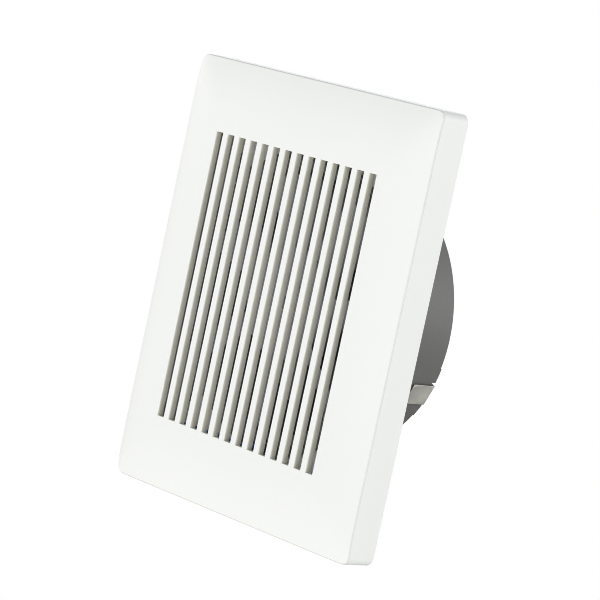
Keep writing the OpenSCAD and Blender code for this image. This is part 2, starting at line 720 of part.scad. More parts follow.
// Cambered blade: a strip of a round shell whose axis is radial
module blade() intersection() {
    ring_y(fan_hub_r - fan_hub_wall / 2, fan_r, fan_y0 + 0.3, fan_y1 - 0.3);
    rotate([blade_pitch, 0, 0]) translate([fan_hub_r - 2, 0, 0]) intersection() {
        translate([0, blade_camber_r - 3, 0]) rotate([0, 90, 0]) difference() {
            cylinder(r = blade_camber_r, h = 50, $fn = 180);
            translate([0, 0, -1]) cylinder(r = blade_camber_r - blade_t, h = 52, $fn = 180);
        }
        box([-1, -6, -blade_chord / 2], [50, 6, blade_chord / 2]);
    }
}

module impeller() color("#d5d9d6") difference() {
    union() {
        ring_y(fan_hub_r - fan_hub_wall, fan_hub_r, fan_y0, fan_y1 + 0.5);
        disc_y(fan_hub_r, fan_y0 - 2, fan_y0 + eps);
        disc_y(fan_boss_r, fan_y0 - eps, fan_boss_y1);
        for (a = [0:60:300]) at_angle(a) box([4, fan_y0 - eps, -0.6], [fan_hub_r - 1, fan_y0 + 5, 0.6]);
        for (i = [0:blade_count - 1]) at_angle(i * 360 / blade_count) blade();
    }
    disc_y(shaft_r, fan_y0, fan_boss_y1 + 1);
    disc_y(stud_r + eps, fan_y0 - 3, fan_y0 + 1);
    disc_y(13, fan_y0 - 3, fan_y0 - 1.2);
    box([-drive_pin_r - eps, drive_pin_y - drive_pin_r - eps, -5.6],
        [drive_pin_r + eps, fan_boss_y1 + 1, 5.6]);
}

module impeller_washer() color("silver") ring_y(stud_r + 0.05, 5, fan_y0 - 2, fan_y0 - 1.2);

module impeller_nut() color("silver") difference() {
    along_y(fan_y0 - 5.4) cylinder(r = 4.04, h = 3.4, $fn = 6);
    disc_y(stud_r, fan_y0 - 7, fan_y0);
}

// ---- Backdraft shutter: two half discs on one upright pin

module shutter_pin() color("silver") translate([0, shutter_y, -bore_r])
    cylinder(r = pin_r, h = 2 * bore_r);

// Half disc on the +X side with every second knuckle, starting from the one numbered first
module flap(first) difference() {
    union() {
        intersection() {
            disc_y(flap_r, shutter_y - flap_t / 2, shutter_y + flap_t / 2);
            box([flap_side_gap, 0, -flap_r], [flap_r + 1, 60, flap_r]);
        }
        for (i = [first:2:7]) translate([0, shutter_y, knuckle_z[i]])
            cylinder(r = knuckle_r, h = knuckle_len);
        for (z = [-32, 32]) box([14, shutter_y, z - 0.6], [flap_r * 0.75, shutter_y + 2.4, z + 0.6]);
    }
    translate([0, shutter_y, -flap_r - 1]) cylinder(r = pin_bore, h = 2 * flap_r + 2);
    for (s = [-1, 1]) box([-4, shutter_y - 4, s > 0 ? knuckles_end : -flap_r - 1],
                          [4.4, shutter_y + 4, s > 0 ? flap_r + 1 : -knuckles_end]);
    for (i = [1 - first:2:7]) box([-1, shutter_y - 4, knuckle_z[i] - knuckle_gap],
                                  [knuckle_r + 0.5, shutter_y + 4, knuckle_z[i] + knuckle_len + knuckle_gap]);
    box([-1, shutter_y - 4, -spring_half], [knuckle_r + 1.1, shutter_y + 4, spring_half]);
}

module flap_right() color("#b8bab8") flap(0);
module flap_left() color("#b8bab8") mirror([1, 0, 0]) flap(1);

// Torsion spring: its coils lie round the pin and its legs press on the outer face of each leaf
module shutter_spring() color("silver") {
    turns = 7;
    steps = 20;
    wire_radius = 0.35;
    coil_r = pin_r + 0.3 + wire_radius;
    leg = 15;
    coil = [for (i = [0:turns * steps]) let (a = 90 + 360 * i / steps)
        [coil_r * cos(a), shutter_y + coil_r * sin(a), -5.5 + 11 * i / (turns * steps)]];
    tip_y = shutter_y + flap_t / 2 + wire_radius + 0.05;
    swept_tube(concat([[leg, tip_y, -5.5]], coil, [[-leg, tip_y, 5.5]]), wire_radius, [0, 0, 1]);
}

front_cover();
mounting_frame();
wall_gasket();
duct_casing();
casing_screws();
terminal_block();
terminal_inserts();
terminal_screws();
terminal_block_screws();
terminal_cover();
terminal_cover_screw();
cord_clamp();
cord_clamp_screws();
cable_grommet();
run_capacitor();
capacitor_lead();
motor_leads();
motor_front_shell();
motor_rear_shell();
motor_tie_screws();
stator_core();
coil_bobbins();
stator_coils();
front_bearing();
rear_bearing();
oil_felts();
motor_grommets();
motor_screws();
motor_shaft();
rotor_core();
rotor_cage();
thrust_washers();
drive_pin();
impeller();
impeller_washer();
impeller_nut();
shutter_pin();
shutter_spring();
flap_left();
flap_right();
leaf_spring_top();
leaf_spring_right();
leaf_spring_left();
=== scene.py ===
"""Looks of a through-wall bathroom extractor fan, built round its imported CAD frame.

Metres, with +X to the right, +Y into the wall and +Z up.
"""

import math

import bmesh
import bpy
from mathutils import Matrix, Vector


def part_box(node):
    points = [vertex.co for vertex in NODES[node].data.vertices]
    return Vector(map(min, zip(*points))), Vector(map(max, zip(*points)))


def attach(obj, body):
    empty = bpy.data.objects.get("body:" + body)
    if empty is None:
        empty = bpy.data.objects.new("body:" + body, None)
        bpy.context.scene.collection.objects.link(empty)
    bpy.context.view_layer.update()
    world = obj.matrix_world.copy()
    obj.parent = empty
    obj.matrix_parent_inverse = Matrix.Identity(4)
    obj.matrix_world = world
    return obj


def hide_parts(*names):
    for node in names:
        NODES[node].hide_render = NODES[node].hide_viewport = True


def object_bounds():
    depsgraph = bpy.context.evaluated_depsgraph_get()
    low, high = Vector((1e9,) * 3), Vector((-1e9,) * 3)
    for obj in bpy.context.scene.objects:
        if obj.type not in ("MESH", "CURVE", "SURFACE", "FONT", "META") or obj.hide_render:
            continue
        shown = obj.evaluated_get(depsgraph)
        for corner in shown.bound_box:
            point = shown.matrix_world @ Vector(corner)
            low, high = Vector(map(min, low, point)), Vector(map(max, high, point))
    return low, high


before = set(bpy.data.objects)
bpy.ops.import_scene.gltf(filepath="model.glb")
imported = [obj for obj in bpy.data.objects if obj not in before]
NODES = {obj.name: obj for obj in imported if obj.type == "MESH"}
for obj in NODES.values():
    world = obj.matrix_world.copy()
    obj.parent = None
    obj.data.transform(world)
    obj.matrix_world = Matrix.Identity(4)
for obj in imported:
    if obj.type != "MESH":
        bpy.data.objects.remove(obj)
CAD_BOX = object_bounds()
MM = 0.001
SHARP = math.radians(35)  # edges that turn by more than this are rounded
WELD = 0.002 * MM

# ---------------------------------------------------------------- shader helpers


class Graph:
    """A short way to write a node tree. Noise scales are per metre."""

    def __init__(self, tree):
        self.tree = tree

    def put(self, value, socket):
        """Links an output to the socket, or sets the socket's own value."""
        if isinstance(value, bpy.types.NodeSocket):
            self.tree.links.new(value, socket)
        else:
            socket.default_value = value

    def add(self, kind, inputs=None, **settings):
        node = self.tree.nodes.new(kind)
        for name, value in settings.items():
            setattr(node, name, value)
        for key, value in (inputs or {}).items():
            self.put(value, node.inputs[key])
        return node

    def noise(self, coords, scale, detail=3.0, roughness=0.55):
        return self.add("ShaderNodeTexNoise", {"Vector": coords, "Scale": scale, "Detail": detail,
                                               "Roughness": roughness}).outputs["Fac"]

    def cells(self, coords, scale):
        return self.add("ShaderNodeTexVoronoi",
                        {"Vector": coords, "Scale": scale}).outputs["Distance"]

    def bands(self, coords, direction, scale, distortion, detail, detail_scale):
        return self.add("ShaderNodeTexWave", {"Vector": coords, "Scale": scale,
                                              "Distortion": distortion, "Detail": detail,
                                              "Detail Scale": detail_scale},
                        wave_type="BANDS", bands_direction=direction).outputs["Fac"]

    def ramp(self, value, low, high, out_low=0.0, out_high=1.0):
        return self.add("ShaderNodeMapRange", {"Value": value, "From Min": low, "From Max": high,
                                               "To Min": out_low, "To Max": out_high}
                        ).outputs["Result"]

    def spread(self, noise, low=0.0, high=1.0):
        """Stretches the usual range of a noise over low to high."""
        return self.ramp(noise, 0.3, 0.7, low, high)

    def mix(self, factor, a, b):
        """From colour a to colour b. 0, 6, 7 and 2 are the Mix node's sockets for colours."""
        return self.add("ShaderNodeMix", {0: factor, 6: a, 7: b}, data_type="RGBA").outputs[2]

    def math(self, operation, a, b=0.0):
        return self.add("ShaderNodeMath", {0: a, 1: b}, operation=operation).outputs[0]

    def dot(self, a, b):
        return self.add("ShaderNodeVectorMath", {0: a, 1: b},
                        operation="DOT_PRODUCT").outputs["Value"]

    def axes(self, vector):
        return self.add("ShaderNodeSeparateXYZ", {"Vector": vector}).outputs

    def camera_ray(self):
        return self.add("ShaderNodeLightPath").outputs["Is Camera Ray"]

    def bump(self, height, depth, normal=None):
        inputs = {"Height": height, "Strength": 1.0, "Distance": depth}
        if normal is not None:
            inputs["Normal"] = normal
        return self.add("ShaderNodeBump", inputs).outputs["Normal"]

    def edges(self, radius):
        """1 on convex edges and 0 on the faces between them."""
        rounded = self.add("ShaderNodeBevel", {"Radius": radius}, samples=4).outputs["Normal"]
        true = self.add("ShaderNodeNewGeometry").outputs["Normal"]
        return self.ramp(self.math("SUBTRACT", 1.0, self.dot(rounded, true)), 0.004, 0.06)


def rgba(colour, factor=1.0):
    return (*(min(1.0, c * factor) for c in colour), 1.0)


def new_material(name):
    material = bpy.data.materials.new(name)
    material.use_nodes = True
    graph = Graph(material.node_tree)
    shader = material.node_tree.nodes["Principled BSDF"]
    coords = graph.add("ShaderNodeTexCoord").outputs["Object"]
    return material, graph, shader, coords


def connect(graph, shader, **sockets):
    """Sets or links the shader's sockets by their short names."""
    names = {"colour": "Base Color", "rough": "Roughness", "normal": "Normal",
             "metal": "Metallic", "spec": "Specular IOR Level", "sheen": "Sheen Weight",
             "coat": "Coat Weight", "aniso": "Anisotropic"}
    for key, value in sockets.items():
        graph.put(value, shader.inputs[names[key]])


# ---------------------------------------------------------------- materials


def moulded(name, colour, rough=0.42, grain=0.3, depth=0.006, wear=1.1, vary=0.025, flow=0.04):
    """Injection-moulded plastic: spark-eroded grain, faint flow clouds, rubbed edges.

    grain and depth are in mm. wear is the tone of the edges, vary the spread of the colour and
    flow that of the roughness.
    """
    material, graph, shader, coords = new_material(name)
    clouds = graph.noise(coords, 14.0, 4.0)
    specks = graph.noise(coords, 1.0 / (grain * 4 * MM), 2.0)
    body = graph.mix(graph.spread(clouds), rgba(colour, 1 - vary), rgba(colour, 1 + vary))
    body = graph.mix(graph.ramp(specks, 0.35, 0.65, 0.0, 0.35), body, rgba(colour, 1 - 2 * vary))
    rubbed = graph.math("MULTIPLY", graph.edges(0.35 * MM),
                        graph.ramp(clouds, 0.35, 0.6, 0.3, 0.8))
    body = graph.mix(rubbed, body, rgba(colour, wear))
    smooth = graph.spread(graph.noise(coords, 60.0, 5.0), rough - flow, rough + flow)
    fine = graph.noise(coords, 1.0 / (grain * MM), 2.0)
    normal = graph.bump(fine, depth * MM)
    normal = graph.bump(graph.noise(coords, 22.0, 2.0), 0.05 * MM, normal)
    connect(graph, shader, colour=body, rough=smooth, normal=normal)
    return material


def add_crease_shade(material):
    """Painted shade: a slightly darker line along the crease between the cover's face and its rim.

    It is drawn close to the cover's outline, where the surface slants between face and rim.
    """
    tone = 0.83
    begins, full = 2 * MM, 1 * MM  # distance in from the outline
    face_ends, rim_begins = (-0.9, -0.78), (-0.25, -0.1)  # Y of the surface's normal
    graph = Graph(material.node_tree)
    base = material.node_tree.nodes["Principled BSDF"].inputs["Base Color"]
    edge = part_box("front_cover")[1]
    place = graph.axes(graph.add("ShaderNodeTexCoord").outputs["Object"])
    near = [graph.ramp(graph.math("ABSOLUTE", place[axis]), reach - begins, reach - full)
            for axis, reach in (("X", edge.x), ("Z", edge.z))]
    normal = graph.axes(graph.add("ShaderNodeNewGeometry").outputs["Normal"])["Y"]
    slant = graph.math("MULTIPLY", graph.ramp(normal, *face_ends),
                       graph.ramp(normal, *rim_begins, 1.0, 0.0))
    # mask of the painted shade along the crease, where the surface slants near the outline
    line = graph.math("MULTIPLY", slant, graph.math("MAXIMUM", *near))
    body = base.links[0].from_socket
    # painted shade: the cover's colour scaled down by tone inside that mask
    dark = graph.add("ShaderNodeVectorMath", {0: body, "Scale": tone},
                     operation="SCALE").outputs["Vector"]
    graph.tree.links.new(graph.mix(line, body, dark), base)


def shaded_slot_wall(name, mouth, middle, deep):
    """The cover's plastic on the slots' walls, with painted shade: light at the mouth, darker and
    beige a little way in, grey-beige at the bottom.
    """
    shade_starts, shade_full, bottom = 0.3 * MM, 1.3 * MM, 3.8 * MM  # depth below the cover's front
    material, graph, shader, coords = new_material(name)
    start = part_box("front_cover")[0].y
    into = graph.axes(coords)["Y"]
    # painted shade: from the mouth's colour to the middle's, then to the deep colour, unevenly
    first_shade = graph.ramp(into, start + shade_starts, start + shade_full)
    deeper_shade = graph.ramp(into, start + shade_full, start + bottom)
    uneven_shade = graph.spread(graph.noise(coords, 240.0, 4.0), -0.12, 0.12)
    body = graph.mix(graph.math("ADD", first_shade, uneven_shade), rgba(mouth), rgba(middle))
    body = graph.mix(deeper_shade, body, rgba(deep))
    connect(graph, shader, colour=body, rough=0.5,
            normal=graph.bump(graph.noise(coords, 2500.0, 2.0), 0.004 * MM))
    return material


def rolled(name, colour, rough=0.3, stretch=(1.0, 1.0, 0.02), pitch=0.08, depth=0.002, metal=1.0):
    """Metal with rolling or turning marks, drawn out along the axis with the small stretch.

    pitch and depth are in mm.
    """
    mottle, worn = 0.08, 1.25  # spread of the colour, and the tone of its edges
    material, graph, shader, coords = new_material(name)
    drawn = graph.add("ShaderNodeMapping", {"Vector": coords, "Scale": stretch}).outputs["Vector"]
    lines = graph.noise(drawn, 1.0 / (pitch * MM), 3.0, 0.7)
    patches = graph.noise(coords, 90.0, 5.0, 0.6)
    body = graph.mix(graph.spread(patches), rgba(colour, 1 - mottle), rgba(colour, 1 + mottle))
    body = graph.mix(graph.ramp(lines, 0.3, 0.75, 0.0, 0.4), body, rgba(colour, 1 - 2 * mottle))
    body = graph.mix(graph.edges(0.2 * MM), body, rgba(colour, worn))
    smooth = graph.math("ADD", graph.spread(lines, rough - 0.06, rough + 0.06),
                        graph.ramp(patches, 0.35, 0.75, -0.04, 0.08))
    connect(graph, shader, colour=body, rough=smooth, normal=graph.bump(lines, depth * MM),
            metal=metal, aniso=0.4)
    return material


def zinc(name, colour, rough=0.34):
    """Zinc plating: small crystal patches, warmer here and there."""
    material, graph, shader, coords = new_material(name)
    warm = graph.noise(coords, 160.0, 4.0)
    warmer = (colour[0], colour[1] * 0.95, colour[2] * 0.8, 1)
    body = graph.mix(graph.cells(coords, 900.0), rgba(colour, 1.05), rgba(colour, 0.82))
    body = graph.mix(graph.ramp(warm, 0.4, 0.7, 0.0, 0.5), body, warmer)
    body = graph.mix(graph.edges(0.15 * MM), body, rgba(colour, 1.2))
    smooth = graph.spread(warm, rough - 0.08, rough + 0.1)
    normal = graph.bump(graph.noise(coords, 2500.0, 3.0), 0.004 * MM)
    connect(graph, shader, colour=body, rough=smooth, normal=normal, metal=1.0)
    return material


def laminated(name, colour):
    """Sheets stacked along Y: a fine line at each joint, and oil stains."""
    sheet = 0.5 * MM
    oiled = (0.16, 0.10, 0.06, 1)
    material, graph, shader, coords = new_material(name)
    bands = graph.bands(coords, "Y", 1 / sheet / (2 * math.pi) * 1.6, 0.6, 2.0, 1.5)
    oil = graph.noise(coords, 120.0, 5.0)
    body = graph.mix(graph.ramp(bands, 0.05, 0.35), rgba(colour, 0.35), rgba(colour))
    body = graph.mix(graph.ramp(oil, 0.45, 0.7, 0.0, 0.55), body, oiled)
    connect(graph, shader, colour=body, rough=graph.spread(oil, 0.3, 0.55), metal=0.85,
            normal=graph.bump(bands, 0.06 * MM))
    return material


def wound(name, colour):
    """Enamelled copper wire in close layers, with a varnish coat."""
    wire = 0.4 * MM
    varnished = (0.42, 0.16, 0.04, 1)
    material, graph, shader, coords = new_material(name)
    heights = [graph.bands(coords, direction, 1 / wire / (2 * math.pi), 1.2, 1.0, 2.0)
               for direction in ("X", "Z")]
    strands = graph.math("MAXIMUM", *heights)
    varnish = graph.noise(coords, 150.0, 4.0)
    body = graph.mix(graph.ramp(strands, 0.2, 0.8), rgba(colour, 0.3), rgba(colour))
    body = graph.mix(graph.ramp(varnish, 0.5, 0.7, 0.0, 0.4), body, varnished)
    connect(graph, shader, colour=body, rough=graph.spread(varnish, 0.2, 0.36), metal=0.8,
            coat=0.5, normal=graph.bump(strands, 0.15 * MM))
    return material


def cellular(name, colour):
    """Closed-cell foam with its cut cells showing."""
    cell = 0.7 * MM
    material, graph, shader, coords = new_material(name)
    cells = graph.cells(coords, 1 / cell)
    broad = graph.noise(coords, 140.0, 4.0)
    body = graph.mix(graph.ramp(cells, 0.1, 0.7), rgba(colour, 0.45), rgba(colour, 1.5))
    body = graph.mix(graph.ramp(broad, 0.4, 0.7, 0.0, 0.4), body, rgba(colour, 0.7))
    connect(graph, shader, colour=body, rough=0.95, spec=0.2, sheen=0.15,
            normal=graph.bump(cells, 0.25 * MM))
    return material


def fibrous(name, colour):
    """Wool felt: tangled fibres, oil stains and a soft nap."""
    material, graph, shader, coords = new_material(name)
    tangle = graph.add("ShaderNodeTexNoise", {"Vector": coords, "Scale": 2200.0, "Detail": 6.0,
                                              "Distortion": 3.0}).outputs["Fac"]
    stain = graph.noise(coords, 220.0, 3.0)
    body = graph.mix(tangle, rgba(colour, 0.7), rgba(colour, 1.15))
    body = graph.mix(graph.ramp(stain, 0.45, 0.7, 0.0, 0.6), body, rgba((0.35, 0.26, 0.15)))
    connect(graph, shader, colour=body, rough=0.95, spec=0.15, sheen=0.5,
            normal=graph.bump(tangle, 0.12 * MM))
    return material


def rubbery(name, colour):
    """Moulded rubber with a dry bloom in patches."""
    material, graph, shader, coords = new_material(name)
    bloom = graph.noise(coords, 130.0, 5.0, 0.65)
    body = graph.mix(graph.ramp(bloom, 0.42, 0.75, 0.0, 0.5), rgba(colour), rgba(colour, 2.2))
    body = graph.mix(graph.edges(0.3 * MM), body, rgba(colour, 2.0))
    connect(graph, shader, colour=body, rough=graph.spread(bloom, 0.58, 0.8), spec=0.35,
            normal=graph.bump(graph.noise(coords, 3200.0, 2.0), 0.012 * MM))
    return material


def insulated(name, colour):
    """Extruded wire insulation: a soft sheen, a little scuffed."""
    material, graph, shader, coords = new_material(name)
    scuffs = graph.noise(coords, 260.0, 5.0, 0.7)
    body = graph.mix(graph.ramp(scuffs, 0.5, 0.75, 0.0, 0.35), rgba(colour), rgba(colour, 1.35))
    connect(graph, shader, colour=body, rough=graph.ramp(scuffs, 0.35, 0.7, 0.32, 0.5),
            normal=graph.bump(graph.noise(coords, 1500.0, 2.0), 0.008 * MM))
    return material


def porous(name, colour):
    """Sintered bronze: fine pores with oil in them."""
    material, graph, shader, coords = new_material(name)
    pores = graph.cells(coords, 4200.0)
    oil = graph.noise(coords, 300.0, 3.0)
    body = graph.mix(graph.ramp(pores, 0.05, 0.25), rgba(colour, 0.3), rgba(colour))
    body = graph.mix(graph.ramp(oil, 0.45, 0.7, 0.0, 0.4), body, rgba(colour, 0.55))
    connect(graph, shader, colour=body, rough=graph.spread(oil, 0.28, 0.5), metal=1.0,
            normal=graph.bump(pores, 0.03 * MM))
    return material


# slot name: (kind of surface, linear colour, its settings)
SURFACES = {
    "cover_white": (moulded, (0.905, 0.915, 0.885),
                    dict(rough=0.38, grain=0.35, depth=0.003, wear=1.0, vary=0.006, flow=0.03)),
    "frame_white": (moulded, (0.84, 0.845, 0.815),
                    dict(rough=0.5, grain=0.4, depth=0.006, wear=1.04, vary=0.012)),
    "casing_grey": (moulded, (0.159, 0.158, 0.152),
                    dict(rough=0.46, grain=0.35, depth=0.012, wear=1.25, vary=0.04)),
    "impeller_grey": (moulded, (0.33, 0.33, 0.355),
                      dict(rough=0.36, grain=0.4, depth=0.004, wear=1.1, vary=0.02)),
    "flap_grey": (moulded, (0.40, 0.41, 0.40),
                  dict(rough=0.48, grain=0.3, depth=0.008, wear=1.15, vary=0.03)),
    "spring_steel": (rolled, (0.70, 0.69, 0.635),
                     dict(rough=0.5, stretch=(1, 0.03, 1), pitch=0.12, metal=0.6)),
    "zinc_steel": (zinc, (0.62, 0.63, 0.62), {}),
    "shell_steel": (zinc, (0.50, 0.51, 0.50), dict(rough=0.4)),
    "lamination": (laminated, (0.34, 0.35, 0.36), {}),
    "cage_aluminium": (rolled, (0.66, 0.67, 0.68),
                       dict(rough=0.45, stretch=(1, 1, 1), pitch=0.5, depth=0.03)),
    "bronze": (porous, (0.52, 0.37, 0.19), {}),
    "brass": (rolled, (0.74, 0.56, 0.27),
              dict(rough=0.28, stretch=(1, 0.1, 1), pitch=0.1, depth=0.004)),
    "felt": (fibrous, (0.66, 0.60, 0.47), {}),
    "copper": (wound, (0.70, 0.31, 0.12), {}),
    "nylon": (moulded, (0.84, 0.80, 0.69), dict(rough=0.4, depth=0.003)),
    "terminal_plastic": (moulded, (0.80, 0.77, 0.66), dict(rough=0.42, grain=0.3, depth=0.004)),
    "rubber": (rubbery, (0.03, 0.03, 0.031), {}),
    "foam": (cellular, (0.065, 0.066, 0.07), {}),
    "capacitor_case": (moulded, (0.035, 0.038, 0.042),
                       dict(rough=0.34, grain=0.5, depth=0.004, wear=1.6, vary=0.05)),
}
MATERIALS = {name: kind(name, colour, **settings)
             for name, (kind, colour, settings) in SURFACES.items()}
# painted shade along the crease between the cover's face and rim
add_crease_shade(MATERIALS["cover_white"])
# painted shade on the slot walls: lighter at the mouth, darker further in
SHADED_SLOT_WALL = shaded_slot_wall("cover_white_slots_shaded", mouth=(0.92, 0.915, 0.86), middle=(0.71, 0.70, 0.585),
                      deep=(0.70, 0.69, 0.65))
LEAD_COLOURS = {"blue": (0.03, 0.13, 0.45), "brown": (0.20, 0.075, 0.03),
                "black": (0.022, 0.022, 0.024), "white": (0.78, 0.78, 0.75)}
LEADS = {name: insulated("insulation_" + name, colour) for name, colour in LEAD_COLOURS.items()}

# ---------------------------------------------------------------- CAD nodes

# node: (material slot, width of its rounded edges in mm)
FINISH = {
    "mounting_frame": ("frame_white", 0.22),
    "wall_gasket": ("foam", 0.25),
    "duct_casing": ("casing_grey", 0.12),
    "casing_screws": ("zinc_steel", 0.12),
    "terminal_block": ("terminal_plastic", 0.15),
    "terminal_inserts": ("brass", 0.12),
    "terminal_screws": ("zinc_steel", 0.06),
    "terminal_block_screws": ("zinc_steel", 0.1),
    "terminal_cover": ("terminal_plastic", 0.3),
    "terminal_cover_screw": ("zinc_steel", 0.1),
    "cord_clamp": ("terminal_plastic", 0.25),
    "cord_clamp_screws": ("zinc_steel", 0.1),
    "cable_grommet": ("rubber", 0.3),
    "run_capacitor": ("capacitor_case", 0.4),
    "motor_front_shell": ("shell_steel", 0.12),
    "motor_rear_shell": ("shell_steel", 0.12),
    "motor_tie_screws": ("zinc_steel", 0.1),
    "stator_core": ("lamination", 0.05),
    "coil_bobbins": ("nylon", 0.15),
    "stator_coils": ("copper", 0.9),
    "front_bearing": ("bronze", 0.15),
    "rear_bearing": ("bronze", 0.15),
    "oil_felts": ("felt", 0.2),
    "motor_grommets": ("rubber", 0.2),
    "motor_screws": ("zinc_steel", 0.1),
    "motor_shaft": ("zinc_steel", 0.12),
    "rotor_core": ("lamination", 0.05),
    "rotor_cage": ("cage_aluminium", 0.15),
    "thrust_washers": ("nylon", 0.1),
    "drive_pin": ("zinc_steel", 0.12),
    "impeller_washer": ("zinc_steel", 0.08),
    "impeller_nut": ("zinc_steel", 0.25),
    "shutter_pin": ("zinc_steel", 0.2),
    "flap_left": ("flap_grey", 0.12),
    "flap_right": ("flap_grey", 0.12),
    "leaf_spring_top": ("spring_steel", 0.1),
    "leaf_spring_right": ("spring_steel", 0.1),
    "leaf_spring_left": ("spring_steel", 0.1),
}


def add_bevel(obj, width, segments, method):
    bevel = obj.modifiers.new("rounded_edges", "BEVEL")
    bevel.width = width
    bevel.segments = segments
    bevel.limit_method = method
    return bevel


def round_edges(obj, width):
    """Modifiers that join the tessellated faces, round the sharp edges and shade the rest smooth.

    The bevel's clamp stays off: one short edge would take the rounding from the whole node.
    """
    obj.modifiers.new("weld", "WELD").merge_threshold = WELD
    flat = obj.modifiers.new("flat_faces", "DECIMATE")
    flat.decimate_type = "DISSOLVE"
    flat.angle_limit = math.radians(0.4)
    bevel = add_bevel(obj, width, 3, "ANGLE")
    bevel.angle_limit = SHARP
    bevel.use_clamp_overlap = False
    obj.modifiers.new("weld_corners", "WELD").merge_threshold = WELD
    obj.modifiers.new("normals", "WEIGHTED_NORMAL").weight = 80


def finish_nodes():
    for node, (slot, edge) in FINISH.items():
        obj = NODES[node]
        obj.data.materials.clear()
        obj.data.materials.append(MATERIALS[slot])
        round_edges(obj, edge * MM)


# ---------------------------------------------------------------- mesh helpers


def new_piece(name, bm, slot, body, node):
    """Turns a bmesh into a piece of the object that stands for a CAD node."""
    bmesh.ops.recalc_face_normals(bm, faces=bm.faces)
    mesh = bpy.data.meshes.new(name)
    bm.to_mesh(mesh)
    bm.free()
    mesh.materials.append(MATERIALS[slot])
    for polygon in mesh.polygons:
        polygon.use_smooth = True
    obj = bpy.data.objects.new(name, mesh)
    bpy.context.scene.collection.objects.link(obj)
    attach(obj, body)
    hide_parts(node)
    return obj


def arc(cx, cy, radius, start, end, steps):
    """Points along an arc, angles in degrees."""
    angles = [math.radians(start + (end - start) * i / steps) for i in range(steps + 1)]
    return [(cx + radius * math.cos(a), cy + radius * math.sin(a)) for a in angles]


def lathe(bm, profile, centre=(0.0, 0.0), start=0.0, turn=360.0, steps=64):
    """Turns a closed profile of (radius, y) round the line along Y through centre (x, z).

    A turn below 360 is capped at both ends.
    """
    closed = turn >= 360
    count = steps if closed else steps + 1
    rings = []
    for i in range(count):
        a = math.radians(start + turn * i / steps)
        rings.append([bm.verts.new((centre[0] + r * math.cos(a), y, centre[1] + r * math.sin(a)))
                      for r, y in profile])
    n = len(profile)
    for i in range(steps):
        here, there = rings[i], rings[(i + 1) % count]
        for k in range(n):
            m = (k + 1) % n
            bm.faces.new((here[k], here[m], there[m], there[k]))
    if not closed:
        bm.faces.new(rings[0])
        bm.faces.new(rings[-1])


# ---------------------------------------------------------------- front cover

SLOT_COUNT = 14
SLOT_PITCH = 9.32 * MM
SLOT_WIDTH = 5.24 * MM
SLOT_HEIGHT = 154.8 * MM
SLOT_ROWS = 8
PAD_MARGIN = 3 * MM  # the thick pad reaches this far beyond the slots
BAR_DEPTH = 3.8 * MM
CROWN = 6.0 * MM
CORNER = 5.0 * MM
CORNER_BOX = 2 * CORNER  # square at each corner in which the grid bends to the corner's radius
FLAT_W, FLAT_H = 130 * MM, 160 * MM
RIM_WALL = 2.2 * MM
CORNER_LINES = (0, 0.2, 0.38, 0.5, 0.59, 0.68, 0.75, 1 - RIM_WALL / CORNER_BOX, 0.9, 1)
FALL_LINES = 7
FACE_SKIN = 2.4 * MM
SOFT_CORNER = 3.0  # power that blends the fall across with the fall down
ROUNDING = {"crease": 0.8 * MM, "slot": 0.2 * MM, "rear": 0.2 * MM}
FACE, SKIN, PAD, REAR = range(4)


def cover_lines(half, inner, slots):
    """Grid lines across the cover: the slots, the pad round them, the fall and the corners."""
    corner = [half - CORNER_BOX + CORNER_BOX * s for s in CORNER_LINES]
    slope = [inner + (half - CORNER_BOX - inner) * i / FALL_LINES for i in range(FALL_LINES)]
    side = slope + corner
    return [-v for v in reversed(side)] + slots + side


def cornered(x, z, half_w, half_h):
    """Moves a grid point near a corner so that the outline gets its radius."""
    box = CORNER_BOX
    s, t = (abs(x) - half_w + box) / box, (abs(z) - half_h + box) / box
    m = max(s, t)
    if min(s, t) <= 0:
        return x, z
    radius = m * CORNER / box
    straight = m - radius
    length = straight + radius * math.pi / 4
    along = min(s, t) / m * length
    if along <= straight:
        near, far = along, m
    else:
        a = (along - straight) / radius
        near, far = straight + radius * math.sin(a), straight + radius * math.cos(a)
    s, t = (far, near) if s >= t else (near, far)
    return (math.copysign(half_w - box + box * s, x), math.copysign(half_h - box + box * t, z))


def fall(distance, flat, half):
    """How far the crowned face has fallen back at a distance from its middle."""
    run = max(0.0, abs(distance) - flat)
    radius = ((half - flat) ** 2 + CROWN ** 2) / (2 * CROWN)
    return radius - math.sqrt(radius ** 2 - run ** 2)


